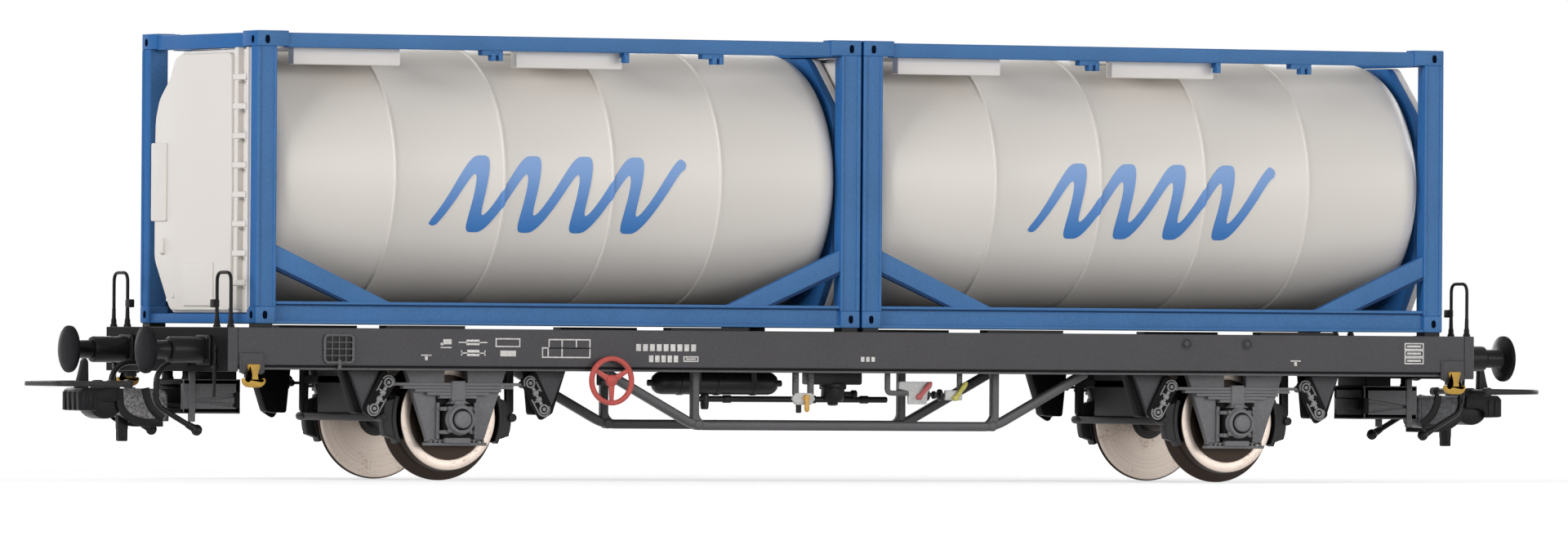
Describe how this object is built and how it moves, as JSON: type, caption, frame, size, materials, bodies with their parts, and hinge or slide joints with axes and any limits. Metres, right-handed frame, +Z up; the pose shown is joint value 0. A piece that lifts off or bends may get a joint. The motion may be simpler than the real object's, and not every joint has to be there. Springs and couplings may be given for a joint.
{
  "type": "model railway container flat wagon",
  "caption": "Scale-model two-axle container flat wagon with truss underframe and lift-off tank containers in open corner-post frames.",
  "frame": {"origin": "middle of the wagon, at the lowest point of the wheel flanges", "axes": "+X along the wagon to the right, +Y across it to the far side, +Z up"},
  "size_m": [0.1748, 0.0318, 0.0461],
  "materials": {
    "chassis_grey": "satin moulded plastic, dark warm grey",
    "chassis_black": "satin moulded plastic, black",
    "frame_blue": "satin moulded plastic, blue",
    "tank_cream": "satin moulded plastic, cream white",
    "wheel_nickel": "turned and nickelled metal, slightly warm",
    "red": "satin red",
    "yellow": "satin ochre yellow"
  },
  "bodies": {
    "wagon": {"sole_bars": "chassis_grey", "end_beams": "chassis_grey", "deck": "chassis_black", "centre_sill": "chassis_black", "cross_bearers": "chassis_black", "container_pads": "chassis_black", "buffers_left": "chassis_black", "buffers_right": "chassis_black", "grab_rails": "chassis_black", "rope_hooks": "yellow", "label_holders": "chassis_black", "axle_guards_left": "chassis_grey", "axle_guards_right": "chassis_grey", "leaf_springs_left": "chassis_grey", "leaf_springs_right": "chassis_grey", "spring_hangers_left": "chassis_grey", "spring_hangers_right": "chassis_grey", "brakes_left": "chassis_black", "brakes_right": "chassis_black", "truss_near": "chassis_black", "truss_far": "chassis_black", "handwheels": "red", "air_reservoir": "chassis_black", "brake_valve": "chassis_black", "changeover_plates": "tank_cream", "red_levers": "red", "yellow_levers": "yellow", "coupling_box_left": "chassis_grey", "coupling_box_right": "chassis_grey", "air_hoses_left": "chassis_black", "air_hoses_right": "chassis_black"},
    "wheelset_left": {"axle_left": "chassis_black", "wheel_left_near": "wheel_nickel", "wheel_left_far": "wheel_nickel"},
    "wheelset_right": {"axle_right": "chassis_black", "wheel_right_near": "wheel_nickel", "wheel_right_far": "wheel_nickel"},
    "coupler_left": {"coupling_left": "chassis_black"},
    "coupler_right": {"coupling_right": "chassis_black"},
    "coupler_loop_left": {"loop_left": "chassis_black"},
    "coupler_loop_right": {"loop_right": "chassis_black"},
    "container_left": {"tank_left": "tank_cream", "end_panels_left": "tank_cream", "end_plates_left": "frame_blue", "top_frame_left": "frame_blue", "base_frame_left": "frame_blue", "corner_posts_left": "frame_blue", "ladder_left": "tank_cream", "roof_trays_left": "tank_cream"},
    "container_right": {"tank_right": "tank_cream", "end_panels_right": "tank_cream", "end_plates_right": "frame_blue", "top_frame_right": "frame_blue", "base_frame_right": "frame_blue", "corner_posts_right": "frame_blue", "ladder_right": "tank_cream", "roof_trays_right": "tank_cream"}
  },
  "joints": [
    {"name": "wheelset_left_roll", "type": "hinge", "parent": "wagon", "child": "wheelset_left", "pos_m": [-0.04598, 0, 0.0065], "axis": [0, 1, 0], "continuous": true},
    {"name": "coupler_left_swing", "type": "hinge", "parent": "wagon", "child": "coupler_left", "pos_m": [-0.06955, 0, 0.0085], "axis": [0, 0, 1], "range_deg": [-10, 10]},
    {"name": "coupler_loop_left_lift", "type": "hinge", "parent": "coupler_left", "child": "coupler_loop_left", "pos_m": [-0.0804, 0, 0.00975], "axis": [0, 1, 0], "range_deg": [0, 20]},
    {"name": "container_left_lift_off", "type": "slide", "parent": "wagon", "child": "container_left", "axis": [0, 0, 1], "range_m": [0, 0.04]},
    {"name": "wheelset_right_roll", "type": "hinge", "parent": "wagon", "child": "wheelset_right", "pos_m": [0.04598, 0, 0.0065], "axis": [0, 1, 0], "continuous": true},
    {"name": "coupler_right_swing", "type": "hinge", "parent": "wagon", "child": "coupler_right", "pos_m": [0.06955, 0, 0.0085], "axis": [0, 0, 1], "range_deg": [-10, 10]},
    {"name": "coupler_loop_right_lift", "type": "hinge", "parent": "coupler_right", "child": "coupler_loop_right", "pos_m": [0.0804, 0, 0.00975], "axis": [0, -1, 0], "range_deg": [0, 20]},
    {"name": "container_right_lift_off", "type": "slide", "parent": "wagon", "child": "container_right", "axis": [0, 0, 1], "range_m": [0, 0.04]}
  ]
}
